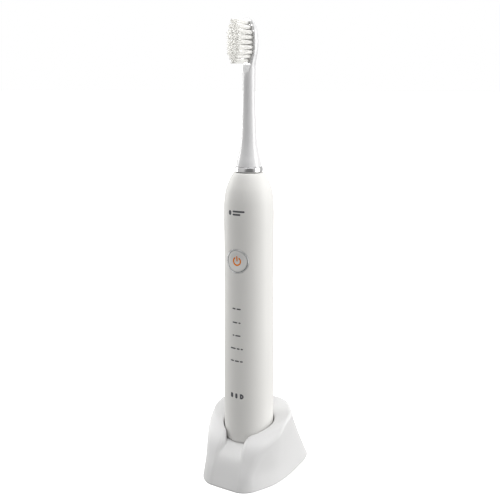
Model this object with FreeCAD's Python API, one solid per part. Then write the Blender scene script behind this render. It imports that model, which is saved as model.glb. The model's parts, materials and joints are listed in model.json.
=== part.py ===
import FreeCAD, Part
import math
import os

os.makedirs("parts", exist_ok=True)
V = FreeCAD.Vector

# ---------------------------------------------------------------- driving dimensions (mm)
AXIS_Y = -4.5          # the handle's axis in the row frame; the base is centred on the origin
SEAT_Z = 22.2          # floor of the cradle cup above the desk
SEAT_GAP = 0.05        # the handle's bottom face over the cup floor
BRUSH_LEN = 240.4      # handle bottom to head tip
FOOT_OUT = 0.6         # how far the rubber feet stand below the base
SHELL_WALL = 2.2
CUP_R = 15.15          # cradle cup
NOTCH_HALF = 5.8       # front notch
PEG_R, PEG_H = 3.9, 9.0
RECESS_R, RECESS_H = 4.6, 10.5
TUBE_IN_R = 12.35      # handle bore
SHOULDER_S = 158.0     # top of the handle
BUTTON_S, BUTTON_R, BUTTON_TRAVEL = 109.7, 6.1, 0.5
SHAFT_R = 2.0
FIT = 0.06             # running fit round the shaft
RING_BOTTOM_S, RING_TOP_S = 158.5, 161.2
HEAD_TURN = -15.0      # the head sits turned on the shaft, seen from above
PLATE_LOW, PLATE_HIGH = 215.6, 240.4
ROWS_S = [218.1, 220.3, 222.4, 224.8, 227.3, 229.8, 232.3, 234.9, 237.3]
TUFT_LEN = 10.8
TUFT_R = 0.85
MODE_S = [82.2, 74.1, 66.4, 58.6, 51.1]
BATTERY_MARK_S = 29.7
BATTERY_MARK_X = [-2.7, 0.4, 3.8]

ZS = SEAT_Z + SEAT_GAP


# ---------------------------------------------------------------- helpers
def cyl(r, z0, z1, x=0.0, y=0.0):
    return Part.makeCylinder(r, z1 - z0, V(x, y, z0))


def cyl_y(r, y0, y1, x=0.0, z=0.0):
    return Part.makeCylinder(r, y1 - y0, V(x, y0, z), V(0, 1, 0))


def box(x0, x1, y0, y1, z0, z1):
    return Part.makeBox(x1 - x0, y1 - y0, z1 - z0, V(x0, y0, z0))


def tube(ro, ri, z0, z1, x=0.0, y=0.0):
    return cyl(ro, z0, z1, x, y).cut(cyl(ri, z0 - 1, z1 + 1, x, y))


def spline_edge(pts, closed=False):
    c = Part.BSplineCurve()
    c.interpolate(Points=pts, PeriodicFlag=closed)
    return c.toShape()


def revolve(edges):
    face = Part.Face(Part.Wire(edges))
    s = face.revolve(V(0, 0, 0), V(0, 0, 1), 360)
    return s if s.ShapeType == "Solid" else Part.Solid(s.Shells[0])


def line(a, b):
    return Part.LineSegment(V(a[0], 0, a[1]), V(b[0], 0, b[1])).toShape()


def rev_poly(pts):
    return revolve([line(pts[i], pts[(i + 1) % len(pts)]) for i in range(len(pts))])


def ordered(edges):
    return Part.Wire(Part.__sortEdges__(edges))


def clean(s):
    t = s.removeSplitter()
    return t if t.isValid() else s


def group(shapes):
    return Part.makeCompound(shapes)


def export(name, shape, handle=True, turn=0.0):
    s = shape.copy()
    if turn:
        s.rotate(V(0, 0, 0), V(0, 0, 1), turn)
    s.translate(V(0, AXIS_Y, ZS if handle else 0.0))
    vol = sum(q.Volume for q in s.Solids)
    print(name, "valid", s.isValid(), "solids", len(s.Solids), "volume", round(vol, 1))
    s.exportStep("parts/" + name + ".step")


# ================================================================ charging base
# Half outlines of the base, front to rear, at five heights. The front is cut later.
OUTLINES = {
    0.0: [(0, -39), (9.4, -35.7), (15.8, -27.6), (18.9, -22.8), (21.2, -18.5), (23.0, -14.7), (24.5, -9.9), (25.7, -2.6), (26.4, 7), (26.5, 16), (26.1, 24.5), (24.6, 31.0), (20, 36.3), (11.5, 39.0), (0, 39.5)],
    10.0: [(0, -34.7), (9.0, -31.2), (15.4, -24.1), (18.3, -19.7), (20.5, -15.6), (22.2, -12.1), (23.8, -7.8), (25.0, -1), (25.8, 7), (25.9, 14.4), (25.3, 21), (23.4, 26.6), (18.6, 31.2), (10.6, 33.7), (0, 34.3)],
    20.0: [(0, -31.4), (9.0, -28.0), (15.3, -20.9), (18.2, -16.6), (20.4, -13.0), (22.1, -9.6), (23.8, -5.6), (24.9, 0.5), (25.2, 7), (25.2, 13), (24.4, 18.2), (21.6, 22.6), (17.2, 27.4), (9.8, 29.6), (0, 30.2)],
    30.0: [(0, -29.2), (9.4, -26.0), (15.8, -18.6), (18.5, -14.6), (20.5, -11.4), (22.2, -8.4), (24.0, -4.6), (24.8, 1), (25.0, 6.5), (24.4, 11.2), (22.6, 15.2), (19.8, 19.4), (15.6, 23.6), (8.8, 26.0), (0, 26.8)],
    42.0: [(0, -26.4), (9.4, -23.0), (15.9, -15.6), (18.4, -12.2), (20.4, -9.2), (22.1, -6.4), (24.0, -2.8), (24.8, 1.5), (24.6, 6), (23.4, 10), (20.4, 13.4), (17.8, 16.8), (14.0, 20.6), (8, 22.9), (0, 23.6)],
}


def outline_points(half, inset):
    pts = [(x, y) for x, y in half] + [(-x, y) for x, y in reversed(half[1:-1])]
    n = len(pts)
    out = []
    for i in range(n):
        ax, ay = pts[i - 1]
        bx, by = pts[(i + 1) % n]
        tx, ty = bx - ax, by - ay
        L = math.hypot(tx, ty)
        # the outline runs counter-clockwise, so the inward normal is to the left
        nx, ny = -ty / L, tx / L
        out.append((pts[i][0] + nx * inset, pts[i][1] + ny * inset))
    return out


def outline_wire(half, z, inset=0.0):
    return Part.Wire([spline_edge([V(x, y, z) for x, y in outline_points(half, inset)], True)])


def flank_loft(inset, z_low):
    wires = []
    for z in sorted(OUTLINES):
        wires.append(outline_wire(OUTLINES[z], z_low if z == 0.0 else z, inset))
    return Part.makeLoft(wires, True, False)


# Side profile of the front face and the front of the top, bowed back to the sides.
FRONT = [(-31.3, -1.5), (-30.8, 1), (-29.6, 5), (-27.6, 10), (-25.2, 15), (-22.4, 20.5), (-18.3, 25.4), (-13.9, 28.7), (-10.7, 31.2), (-5.6, 35.2), (0, 38.7), (7, 42.0)]
BOW = 0.0115


def front_body(dy=0.0, dz=0.0):
    wires = []
    for x in (-30.0, -20.0, -10.0, 0.0, 10.0, 20.0, 30.0):
        sh = BOW * x * x + dy
        top = spline_edge([V(x, y + sh, z + dz) for y, z in FRONT])
        a = V(x, FRONT[0][0] + sh, FRONT[0][1] + dz)
        b = V(x, FRONT[-1][0] + sh, FRONT[-1][1] + dz)
        c = V(x, 70, b.z)
        d = V(x, 70, a.z)
        wires.append(Part.Wire([top, Part.LineSegment(b, c).toShape(), Part.LineSegment(c, d).toShape(), Part.LineSegment(d, a).toShape()]))
    return Part.makeLoft(wires, True, False)


def dish(dz=0.0):
    apex = V(0, 0, 30.7 - 0.45 * 14.75 + dz)
    c = Part.makeCone(0.0, 54.0, 54.0 * 0.45, apex, V(0, 0, 1))
    c.rotate(apex, V(1, 0, 0), 6.5)
    return c


def notch_section(y, low, mid, lip):
    # one cross-section: floor corners, top of the straight wall, lip, and far above
    pts = [(-low[0], low[1]), (-mid[0], mid[1]), (-lip[0], lip[1]), (-lip[0], 60), (lip[0], 60), (lip[0], lip[1]), (mid[0], mid[1]), (low[0], low[1])]
    q = [V(x, y, z) for x, z in pts]
    am = V(-(mid[0] + 0.28 * (lip[0] - mid[0])), y, mid[1] + 0.68 * (lip[1] - mid[1]))
    bm = V(-am.x, y, am.z)
    e = [Part.LineSegment(q[0], q[1]).toShape(), Part.Arc(q[1], am, q[2]).toShape(), Part.LineSegment(q[2], q[3]).toShape(),
         Part.LineSegment(q[3], q[4]).toShape(), Part.LineSegment(q[4], q[5]).toShape(), Part.Arc(q[5], bm, q[6]).toShape(),
         Part.LineSegment(q[6], q[7]).toShape(), Part.LineSegment(q[7], q[0]).toShape()]
    return Part.Wire(e)


def notch(extra=0.0):
    h = NOTCH_HALF + extra
    # across: straight walls at the cup that flare and roll out towards the front
    across = Part.makeLoft([notch_section(0.0, (h, 8), (h, 25.6), (h + 4.2, 30.0)), notch_section(-14.5, (h, 8), (h, 25.2), (h + 4.4, 29.6))], True, True)
    front = Part.makeLoft([notch_section(-14.5, (h, 8), (h, 25.2), (h + 4.4, 29.6)), notch_section(-19.0, (h, 8), (h + 0.3, 20.6), (h + 5.6, 25.2)),
                           notch_section(-23.0, (h, 5), (h + 0.6, 16.6), (h + 6.6, 20.8)), notch_section(-30.0, (h, -4), (h + 1.0, 8.0), (h + 8.0, 12.6))], True, True)
    across = across.fuse(front)
    # along: the ledge falls away and rolls over into the front face
    ledge = [(-11.5, SEAT_Z), (-14.8, SEAT_Z - 0.1), (-18.0, 20.6), (-21.0, 18.6), (-23.4, 16.2), (-25.0, 13.4), (-27.2, 8.0)]
    top = spline_edge([V(-40, y, z - extra) for y, z in ledge])
    a, b = V(-40, ledge[0][0], ledge[0][1] - extra), V(-40, ledge[-1][0], ledge[-1][1] - extra)
    q = [b, V(-40, -60, b.z), V(-40, -60, 70), V(-40, a.y, 70), a]
    es = [top] + [Part.LineSegment(q[i], q[i + 1]).toShape() for i in range(4)]
    along = Part.Face(ordered(es)).extrude(V(80, 0, 0))
    return across.common(along)


BASE_Z = FOOT_OUT
outer = flank_loft(0.0, BASE_Z).common(front_body())
outer = outer.common(box(-60, 60, -60, 60, BASE_Z, 60))
outer_top = outer.cut(dish())

inner = flank_loft(SHELL_WALL, BASE_Z - 0.2).common(front_body(SHELL_WALL + 0.3, -SHELL_WALL))
inner = inner.cut(dish(-2.4))
inner = inner.cut(cyl(CUP_R + 1.8, SEAT_Z - 2.2, 70))
inner = inner.cut(box(-15.0, 15.0, -60, -9.2, 11.0, 70))

shell = outer_top.cut(inner)
shell = shell.cut(cyl(CUP_R, SEAT_Z, 70))
shell = shell.cut(notch())
# induction peg, hollow from below
shell = shell.fuse(cyl(PEG_R, SEAT_Z - 1.5, SEAT_Z + PEG_H))
shell = shell.cut(cyl(2.7, 10, SEAT_Z + PEG_H - 1.0))
# screw bosses
SCREWS = [(19.0, -7.0), (-19.0, -7.0), (19.4, 18.5), (-19.4, 18.5)]
for sx, sy in SCREWS:
    boss = cyl(2.7, BASE_Z + 2.1, 30, sx, sy).common(outer_top)
    boss = boss.common(box(-60, 60, -60, 60, 0, 22))
    shell = shell.fuse(boss)
for sx, sy in SCREWS:
    shell = shell.cut(cyl(0.85, 0, 11.5, sx, sy))
# inlet pocket at the rear
shell = shell.cut(box(-6.2, 6.2, 34.2, 60, 3.6, 10.6))
shell = shell.fuse(box(-7.6, 7.6, 31.9, 34.2, 2.9, 12.2).common(outer_top))
shell = shell.cut(box(-4.6, 4.6, 30, 36, 5.3, 8.7))
shell = clean(shell)
export("charger_shell", shell, False)

# bottom cover, inside the shell's rim
COVER_TOP = BASE_Z + 1.8
cover = flank_loft(SHELL_WALL + 0.35, BASE_Z - 0.2).common(box(-60, 60, -60, 60, BASE_Z, COVER_TOP))
front_trim = front_body(SHELL_WALL + 1.0, -0.2)
cover = cover.common(front_trim)
FEET = [(11.0, -19.5), (-11.0, -19.5), (16.0, 28.0), (-16.0, 28.0)]
for fx, fy in FEET:
    cover = cover.cut(cyl(3.85, BASE_Z - 1, BASE_Z + 0.9, fx, fy))
for sx, sy in SCREWS:
    cover = cover.cut(cyl(1.25, 0, 5, sx, sy)).cut(cyl(2.1, 0, BASE_Z + 0.8, sx, sy))
# label recess
cover = cover.cut(box(-9, 9, 2, 14, 0, BASE_Z + 0.25))
export("bottom_cover", cover, False)

feet = []
for fx, fy in FEET:
    f = cyl(3.8, 0.0, BASE_Z + 0.85, fx, fy)
    f = f.makeFillet(0.35, [e for e in f.Edges if abs(e.BoundBox.ZMax) < 0.01 and e.Length > 15])
    feet.append(f)
export("rubber_feet", group(feet), False)

scr = []
for sx, sy in SCREWS:
    head = cyl(2.0, BASE_Z + 0.05, BASE_Z + 0.78, sx, sy).fuse(cyl(0.84, BASE_Z + 0.7, 9.5, sx, sy))
    for k in (0, 90):
        slot = box(-1.2, 1.2, -0.25, 0.25, 0, BASE_Z + 0.5)
        slot.rotate(V(0, 0, 0), V(0, 0, 1), k)
        slot.translate(V(sx, sy, 0))
        head = head.cut(slot)
    scr.append(clean(head))
export("cover_screws", group(scr), False)

# charging coil under the cup, round a ferrite rod that stands in the peg
ferrite = cyl(2.4, 6.4, SEAT_Z + PEG_H - 1.3).fuse(cyl(5.0, 6.4, 7.6))
export("charger_ferrite", clean(ferrite), False)
bob = tube(3.3, 2.5, 7.7, 19.4).fuse(tube(8.2, 2.5, 7.7, 8.6)).fuse(tube(8.2, 2.5, 18.5, 19.4))
export("coil_bobbin", clean(bob), False)
coil = tube(7.6, 3.35, 8.65, 18.45)
coil = coil.makeFillet(0.6, [e for e in coil.Edges if e.Length > 30 and abs(e.BoundBox.ZLength) < 0.01])
export("primary_coil", coil, False)

BOARD_Z = 4.4
board = box(-14.5, 14.5, -15, 31.2, BOARD_Z, BOARD_Z + 1.2)
board = board.cut(cyl(2.5, 0, 12, 0, 0))
board = board.makeFillet(1.5, [e for e in board.Edges if abs(e.BoundBox.ZLength - 1.2) < 0.01 and abs(e.BoundBox.XMin) > 10])
export("charger_board", clean(board), False)

T = BOARD_Z + 1.2 + 0.02
parts = [
    cyl(3.1, T, T + 8.5, 9.5, 14.0),
    cyl(2.5, T, T + 6.0, -9.8, 12.5),
    box(-4.0, 4.0, 12.0, 19.0, T, T + 1.7),
    box(-13.0, -9.0, -12.0, -8.0, T, T + 2.4),
    box(8.6, 12.6, -12.5, -8.5, T, T + 1.2),
    box(-12.5, -7.0, 21.0, 26.0, T, T + 3.4),
    box(7.2, 12.6, 21.5, 25.5, T, T + 1.6),
]
parts = [p.makeFillet(0.3, p.Edges) if len(p.Faces) == 6 else p for p in parts]
export("charger_components", group(parts), False)

# inlet: a small metal-shelled socket with its tongue
sock = box(-4.45, 4.45, 27.4, 34.0, 5.65, 8.55)
sock = sock.makeFillet(1.2, [e for e in sock.Edges if abs(e.BoundBox.YLength - 6.6) < 0.01])
cav = box(-4.1, 4.1, 28.4, 40, 6.0, 8.2)
cav = cav.makeFillet(0.95, [e for e in cav.Edges if abs(e.BoundBox.YLength - 11.6) < 0.01])
sock = sock.cut(cav).fuse(box(-3.2, 3.2, 28.0, 33.2, 6.75, 7.45))
export("inlet_socket", clean(sock), False)

# ================================================================ handle
OUT = [(14.42, 2.2), (14.55, 6), (14.62, 12), (14.65, 20), (14.60, 30), (14.55, 40), (14.38, 58), (14.22, 74), (14.12, 90), (14.06, 106), (14.06, 118), (14.14, 127),
       (14.18, 133), (14.08, 138.7), (13.82, 143.2), (13.52, 145.5), (13.10, 147.7), (12.48, 150), (11.65, 152.2), (10.62, 154.5), (9.70, 156.2), (8.90, 157.4)]
IN = [(TUBE_IN_R, 138), (12.0, 143), (11.2, 147.7), (10.2, 150.8), (9.2, 152.8), (8.0, 154.9)]


def handle_outer(shrink=0.0):
    o = [(r - shrink, z) for r, z in OUT]
    top = (8.3 - shrink, SHOULDER_S - shrink)
    e = [line((0, 0), (12.6 - shrink, 0)),
         Part.Arc(V(12.6 - shrink, 0, 0), V(13.95 - shrink, 0, 0.62), V(o[0][0], 0, o[0][1])).toShape(),
         spline_edge([V(r, 0, z) for r, z in o]),
         line(o[-1], top), line(top, (0, top[1])), line((0, top[1]), (0, 0))]
    return revolve(e)


solid_outer = handle_outer()
bore = revolve([line((0, -1), (TUBE_IN_R, -1)), line((TUBE_IN_R, -1), IN[0]), spline_edge([V(r, 0, z) for r, z in IN]), line(IN[-1], (0, IN[-1][1])), line((0, IN[-1][1]), (0, -1))])
housing = solid_outer.cut(bore)
housing = housing.cut(cyl(5.6, 150, 170))
housing = housing.cut(cyl_y(6.95, -30, -8, 0, BUTTON_S))
# thin windows from the inside, where the lamps shine through
for s in MODE_S:
    housing = housing.cut(cyl_y(0.8, -13.2, -8, 0, s))
for x in BATTERY_MARK_X:
    housing = housing.cut(cyl_y(0.8, -13.4, -8, x, BATTERY_MARK_S))
export("handle_housing", housing)

# bottom plug with the recess for the peg
cap = cyl(12.25, 0.0, 4.0).fuse(cyl(5.6, 3.5, RECESS_H + 0.9)).cut(cyl(RECESS_R, -1, RECESS_H))
cap = cap.cut(tube(13.0, 11.15, 1.75, 3.05))
cap = cap.cut(tube(10.6, 7.2, -1, 0.4))
export("base_cap", clean(cap))
oring = Part.makeTorus(11.75, 0.57, V(0, 0, 2.4))
export("cap_o_ring", oring)

former = tube(6.4, 5.62, 4.05, 11.2).fuse(tube(9.6, 5.62, 4.05, 4.7)).fuse(tube(9.6, 5.62, 10.55, 11.2))
export("coil_former", clean(former))
rcoil = tube(9.2, 6.42, 4.72, 10.53)
rcoil = rcoil.makeFillet(0.5, [e for e in rcoil.Edges if e.Length > 30 and abs(e.BoundBox.ZLength) < 0.01])
export("receiver_coil", rcoil)

# internal frame: a back shell with bulkheads and saddles
CH_O, CH_I = 12.15, 11.0
frame = tube(CH_O, CH_I, 14.2, 137.5).common(box(-20, 20, -2.0, 20, 0, 200))


def bulk(z0, z1, hole=None, hy=0.0):
    b = cyl(CH_O, z0, z1)
    if hole:
        b = b.cut(cyl(hole, z0 - 1, z1 + 1, 0, hy))
    return b.common(box(-20, 20, -9.15, 20, 0, 200))


BAT_Y = 1.9
for z0, z1, hole, hy in ((14.2, 16.8, 2.0, 4.0), (26, 28, 7.05, BAT_Y), (56, 58, 7.05, BAT_Y), (68.8, 71.4, 2.6, 0.0),
                         (80.5, 82.5, 9.6, 0.0), (121.5, 123.5, 9.6, 0.0), (131.8, 135.2, 5.02, 0.0)):
    frame = frame.fuse(bulk(z0, z1, hole, hy))
for s in (15.5, 70.1, 133.5):
    frame = frame.cut(cyl_y(0.62, -10, -5.8, 0, s))
export("inner_chassis", clean(frame))

bat = cyl(7.0, 17.6, 66.9, 0, BAT_Y)
bat = bat.makeFillet(0.8, [e for e in bat.Edges if e.Length > 30])
bat = bat.fuse(cyl(2.4, 66.8, 67.4, 0, BAT_Y))
export("battery_cell", clean(bat))
tabs = group([box(-2.4, 2.4, -9.1, 4.4, 67.45, 67.65), box(-2.4, 2.4, -9.1, 4.4, 17.3, 17.5)])
export("battery_tabs", tabs)

PB_F, PB_B = -10.3, -9.25
pcb = box(-6.1, 6.1, PB_F, PB_B, 13.6, 136.6)
pcb = pcb.makeFillet(0.8, [e for e in pcb.Edges if abs(e.BoundBox.YLength - (PB_B - PB_F)) < 0.01])
for s in (15.5, 70.1, 133.5):
    pcb = pcb.cut(cyl_y(0.75, -12, -8, 0, s))
export("circuit_board", pcb)
comp = [box(-2.6, 2.6, -11.2, PB_F - 0.01, 92, 97.2), box(-4.6, -2.6, -11.0, PB_F - 0.01, 119, 122.5), box(1.8, 4.6, -11.3, PB_F - 0.01, 120, 123),
        box(-1.5, 1.5, -11.0, PB_F - 0.01, 126, 129.0), box(2.2, 4.2, -11.0, PB_F - 0.01, 17.6, 20.6), box(-4.4, -1.4, -11.2, PB_F - 0.01, 18.0, 21.6)]
comp = [c.makeFillet(0.15, c.Edges) for c in comp]
export("board_components", group(comp))
bs = []
for s in (15.5, 70.1, 133.5):
    q = cyl_y(1.2, -10.9, PB_F - 0.01, 0, s).fuse(cyl_y(0.6, PB_F - 0.1, -6.2, 0, s))
    bs.append(clean(q))
export("board_screws", group(bs))
tact = box(-2.2, 2.2, -11.2, PB_F - 0.01, BUTTON_S - 2.2, BUTTON_S + 2.2).fuse(cyl_y(1.0, -11.5, -11.1, 0, BUTTON_S))
export("tact_switch", clean(tact))
export("mode_leds", group([box(-0.8, 0.8, -10.9, PB_F - 0.01, s - 0.4, s + 0.4) for s in MODE_S]))
export("battery_leds", group([box(x - 0.5, x + 0.5, -10.9, PB_F - 0.01, BATTERY_MARK_S - 0.8, BATTERY_MARK_S + 0.8) for x in BATTERY_MARK_X]))
guide = box(-4.6, 4.6, -11.3, -11.0, 24.5, 88.5)
for s in MODE_S:
    guide = guide.fuse(cyl_y(0.7, -12.2, -11.2, 0, s))
for x in BATTERY_MARK_X:
    guide = guide.fuse(cyl_y(0.7, -11.6, -11.2, x, BATTERY_MARK_S))
export("light_guide", clean(guide))

# power button: bezel, membrane, cap with its inlaid symbol, plunger
ring = cyl_y(6.9, -20, -11.9, 0, BUTTON_S).cut(cyl_y(6.3, -21, -11, 0, BUTTON_S)).common(solid_outer)
export("button_ring", ring)
seal = cyl_y(6.25, -12.25, -11.95, 0, BUTTON_S).cut(cyl_y(2.0, -13, -11, 0, BUTTON_S))
export("button_seal", seal)
flush = handle_outer(0.08)
capb = cyl_y(BUTTON_R, -20, -12.9, 0, BUTTON_S).common(flush)
icon_zone = cyl_y(2.55, -20, -13.7, 0, BUTTON_S).cut(cyl_y(1.95, -21, -13, 0, BUTTON_S))
icon_zone = icon_zone.cut(box(-1.15, 1.15, -20, -10, BUTTON_S + 0.8, BUTTON_S + 5)).fuse(box(-0.3, 0.3, -20, -13.7, BUTTON_S - 0.1, BUTTON_S + 2.6))
icon = icon_zone.common(flush)
capb = capb.cut(icon_zone)
export("button_cap", clean(capb))
export("power_icon", clean(icon))
plunger = cyl_y(1.5, -12.9, -12.1, 0, BUTTON_S)
plunger = plunger.makeFillet(0.3, [e for e in plunger.Edges if abs(e.BoundBox.YMin + 12.1) < 0.01])
export("switch_plunger", plunger)

# motor
M0, M1 = 76.0, 128.0
can = tube(8.3, 7.6, M0, M1).fuse(tube(8.3, 3.0, M1 - 1.4, M1))
can = can.cut(box(-1.2, 1.2, -9.0, -6.0, M0 - 1, M0 + 4))
export("motor_can", clean(can))
mcap = tube(7.55, 4.02, M0 + 0.1, M0 + 3.0)
export("motor_end_cap", mcap)
export("rear_bearing", tube(4.0, SHAFT_R + FIT, M0 + 0.1, M0 + 3.2))
fb = tube(5.0, SHAFT_R + FIT, 131.8, 135.2)
fb = fb.cut(tube(4.3, 2.9, 134.6, 136))
export("front_bearing", fb)
core = tube(7.55, 6.5, 84, 120)
for k in range(4):
    pole = box(-1.5, 1.5, 4.9, 6.8, 84, 120)
    pole.rotate(V(0, 0, 0), V(0, 0, 1), 90 * k)
    core = core.fuse(pole)
export("stator_core", clean(core))
coils = []
for k in range(4):
    seg = tube(6.4, 5.0, 82.5, 121.5)
    wedge = Part.Face(Part.Wire([Part.LineSegment(V(0, 0, 80), V(20, -10.4, 80)).toShape(), Part.LineSegment(V(20, -10.4, 80), V(20, 10.4, 80)).toShape(), Part.LineSegment(V(20, 10.4, 80), V(0, 0, 80)).toShape()])).extrude(V(0, 0, 60))
    wedge.rotate(V(0, 0, 0), V(0, 0, 1), 45 + 90 * k)
    coils.append(seg.common(wedge))
export("stator_coils", group(coils))
damp = []
for z0, z1 in ((80.5, 82.5), (121.5, 123.5)):
    d = tube(9.56, 8.33, z0, z1).common(box(-20, 20, -9.15, 20, 0, 200))
    damp.append(d)
export("motor_dampers", group(damp))

# rotating group
shaft = cyl(SHAFT_R, 74.6, 181.0)
shaft = shaft.makeFillet(0.5, [e for e in shaft.Edges if e.Length > 5 and abs(e.BoundBox.ZLength) < 0.01])
shaft = shaft.cut(box(1.45, 4, -4, 4, 164, 190))
export("drive_shaft", shaft, True, HEAD_TURN)
export("rotor_core", tube(3.1, SHAFT_R, 88, 116))
mags = []
for k in range(4):
    seg = tube(4.35, 3.12, 89, 115)
    wedge = Part.Face(Part.Wire([Part.LineSegment(V(0, 0, 80), V(20, -17.5, 80)).toShape(), Part.LineSegment(V(20, -17.5, 80), V(20, 17.5, 80)).toShape(), Part.LineSegment(V(20, 17.5, 80), V(0, 0, 80)).toShape()])).extrude(V(0, 0, 60))
    wedge.rotate(V(0, 0, 0), V(0, 0, 1), 90 * k)
    mags.append(seg.common(wedge))
export("rotor_magnets", group(mags))

# torsion spring between frame and shaft
helix = Part.makeHelix(1.9, 9.5, 3.9)
prof = Part.Wire([Part.Circle(V(3.9, 0, 0), V(0, 1, 0), 0.5).toShape()])
spr = Part.Wire(helix.Edges).makePipeShell([prof], True, True)
spr.translate(V(0, 0, 137.4))
export("torsion_spring", spr)

# seal round the shaft and what holds it
sealp = [(SHAFT_R + FIT, 153.6), (5.55, 153.6), (5.55, 158.2), (4.6, 158.25), (4.1, 157.2), (3.4, 157.2), (2.9, 158.1), (SHAFT_R + FIT, 158.1)]
export("shaft_seal", rev_poly(sealp))
export("seal_retainer", tube(7.0, 2.6, 151.2, 153.5))

# ================================================================ brush head (built facing -Y, then turned)
NECK = [(7.15, RING_TOP_S + 0.02), (6.55, 164.5), (5.85, 167.2), (5.3, 170), (4.82, 172.7), (4.5, 175.5), (4.2, 179.5), (4.02, 184), (3.78, 190.5), (3.58, 197), (3.47, 203), (3.46, 208), (3.5, 213), (3.3, 216.5), (2.7, 219.5)]
e = [line((0, RING_BOTTOM_S + 0.3), (6.15, RING_BOTTOM_S + 0.3)), line((6.15, RING_BOTTOM_S + 0.3), (6.15, RING_TOP_S + 0.02)), line((6.15, RING_TOP_S + 0.02), NECK[0]),
     spline_edge([V(r, 0, z) for r, z in NECK]), line(NECK[-1], (0, 221.5)), line((0, 221.5), (0, RING_BOTTOM_S + 0.3))]
neck = revolve(e)


def oval(y, hw, z0, z1, n=20):
    zc, hz = (z0 + z1) / 2, (z1 - z0) / 2
    pts = []
    for i in range(n):
        t = 2 * math.pi * i / n
        c, s = math.cos(t), math.sin(t)
        k = 0.92
        # a slightly squared oval, a little wider above the middle
        x = hw * math.copysign(abs(c) ** k, c)
        z = zc + hz * math.copysign(abs(s) ** k, s)
        pts.append(V(x, y, z))
    return Part.Wire([spline_edge(pts, True)])


PLATE_Y = -1.6         # front face of the plate against the neck's axis
plate = Part.makeLoft([oval(-0.05, 5.45, PLATE_LOW + 0.7, PLATE_HIGH - 0.6), oval(0.6, 5.85, PLATE_LOW + 0.1, PLATE_HIGH - 0.1), oval(1.6, 6.0, PLATE_LOW, PLATE_HIGH),
                       oval(2.8, 5.85, PLATE_LOW + 0.1, PLATE_HIGH - 0.3), oval(3.8, 4.9, PLATE_LOW + 0.6, PLATE_HIGH - 1.6), oval(4.4, 3.2, PLATE_LOW + 2.0, PLATE_HIGH - 4.2)], True, False)
plate.translate(V(0, PLATE_Y, 0))
# the neck's front stops at the plate's front face
chop2 = box(-10, 10, -12, PLATE_Y - 0.05, PLATE_LOW + 1.0, 260)
neck = neck.cut(chop2)
body = neck.fuse(plate)
body = body.cut(cyl(2.9, 150, 184.0))

rows = []
for s in ROWS_S:
    zc, hz = (PLATE_LOW + PLATE_HIGH) / 2, (PLATE_HIGH - PLATE_LOW) / 2 - 0.6
    half = 5.3 * math.sqrt(max(0.0, 1 - ((s - zc) / hz) ** 2))
    n = max(1, int((2 * (half - 1.0)) / 2.35) + 1)
    if n == 1:
        xs = [0.0]
    else:
        span = min(2 * (half - 1.05), 2.5 * (n - 1))
        xs = [-span / 2 + j * span / (n - 1) for j in range(n)]
    for x in xs:
        dome = 0.9 * ((s - zc) / hz) ** 2 + 0.6 * (x / 5.0) ** 2
        rows.append((x, s, TUFT_LEN - dome))
print("tufts", len(rows))
tufts, anchors = [], []
for x, s, ln in rows:
    t = cyl_y(TUFT_R, PLATE_Y - ln, PLATE_Y + 1.6, x, s)
    tufts.append(t)
    anchors.append(box(x - 0.75, x + 0.75, PLATE_Y + 1.62, PLATE_Y + 2.5, s - 0.14, s + 0.14))
body = body.cut(group(tufts)).cut(group(anchors))
export("brush_head_body", clean(body), True, HEAD_TURN)
export("bristle_tufts", group(tufts), True, HEAD_TURN)
export("tuft_anchors", group(anchors), True, HEAD_TURN)

clip = tube(2.88, 2.08, 160.5, 182.6)
key = box(1.55, 2.4, -1.6, 1.6, 165, 181.5).common(cyl(2.3, 160, 190))
clip = clip.fuse(key).fuse(cyl(2.88, 181.6, 183.4))
export("head_insert_clip", clean(clip), True, HEAD_TURN)
cring = rev_poly([(6.2, RING_BOTTOM_S), (7.55, RING_BOTTOM_S), (7.78, RING_BOTTOM_S + 0.3), (7.72, RING_TOP_S - 0.6), (7.3, RING_TOP_S), (6.2, RING_TOP_S)])
export("collar_ring", cring, True, HEAD_TURN)
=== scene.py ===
import bpy
import json
import math
import numpy as np
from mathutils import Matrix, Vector


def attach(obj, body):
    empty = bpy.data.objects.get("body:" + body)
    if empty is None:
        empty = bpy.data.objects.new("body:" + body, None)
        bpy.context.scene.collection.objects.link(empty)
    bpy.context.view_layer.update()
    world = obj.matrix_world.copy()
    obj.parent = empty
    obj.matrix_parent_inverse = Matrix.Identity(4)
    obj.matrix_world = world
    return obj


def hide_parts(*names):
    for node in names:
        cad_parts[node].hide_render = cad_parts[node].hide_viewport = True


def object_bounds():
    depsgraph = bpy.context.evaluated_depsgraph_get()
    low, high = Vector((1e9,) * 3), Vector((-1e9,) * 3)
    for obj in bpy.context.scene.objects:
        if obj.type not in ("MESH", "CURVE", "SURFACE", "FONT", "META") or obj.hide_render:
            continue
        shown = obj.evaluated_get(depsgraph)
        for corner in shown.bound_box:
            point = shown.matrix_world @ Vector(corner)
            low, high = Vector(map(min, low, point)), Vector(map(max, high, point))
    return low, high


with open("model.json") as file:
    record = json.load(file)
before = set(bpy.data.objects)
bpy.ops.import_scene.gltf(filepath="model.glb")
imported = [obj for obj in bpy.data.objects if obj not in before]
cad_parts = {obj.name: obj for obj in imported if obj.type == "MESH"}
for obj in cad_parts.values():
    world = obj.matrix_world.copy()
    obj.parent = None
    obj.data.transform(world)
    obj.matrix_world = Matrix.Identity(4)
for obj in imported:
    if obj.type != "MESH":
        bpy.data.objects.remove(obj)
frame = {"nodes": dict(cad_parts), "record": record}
cad_lo, cad_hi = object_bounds()

MM = 0.001
AXIS_Y = -4.5            # the handle's axis in the row frame, mm
ZS = 22.25               # the handle's bottom in the row frame, mm
SEAT_Z = 22.2
CUP_R = 15.15
BASE_Z = 0.6
WALL = 2.2
BUTTON_S = 109.7
HEAD_TURN = math.radians(-15.0)
NODES = frame["nodes"]
rng = np.random.default_rng(4711)


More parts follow.
